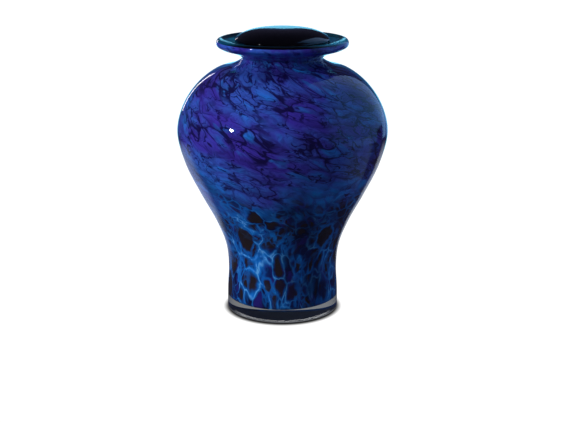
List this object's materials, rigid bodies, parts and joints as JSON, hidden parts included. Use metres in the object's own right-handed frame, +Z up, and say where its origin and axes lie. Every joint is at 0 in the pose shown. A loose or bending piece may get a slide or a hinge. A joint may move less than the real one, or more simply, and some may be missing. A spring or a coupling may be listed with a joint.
{
  "type": "urn",
  "caption": "Hand-blown glass urn: hollow baluster vessel on a clear foot, with a short neck, a flared saucer lip and a domed glass lid that lifts off.",
  "frame": {"origin": "centre of the flat underside of the foot, on the surface that the urn stands on", "axes": "+Z up along the axis of the vessel; X and Y are equal, because the vessel is round"},
  "size_m": [0.201, 0.201, 0.2746],
  "materials": {
    "mottled_blue_glass": "polished, mottled cobalt and azure with dark veins",
    "dark_teal_glass": "polished, deep teal that looks black where thick",
    "clear_glass": "polished clear casing and foot"
  },
  "bodies": {
    "root": {"urn_vessel": "mottled_blue_glass", "lid": "dark_teal_glass"}
  },
  "joints": []
}
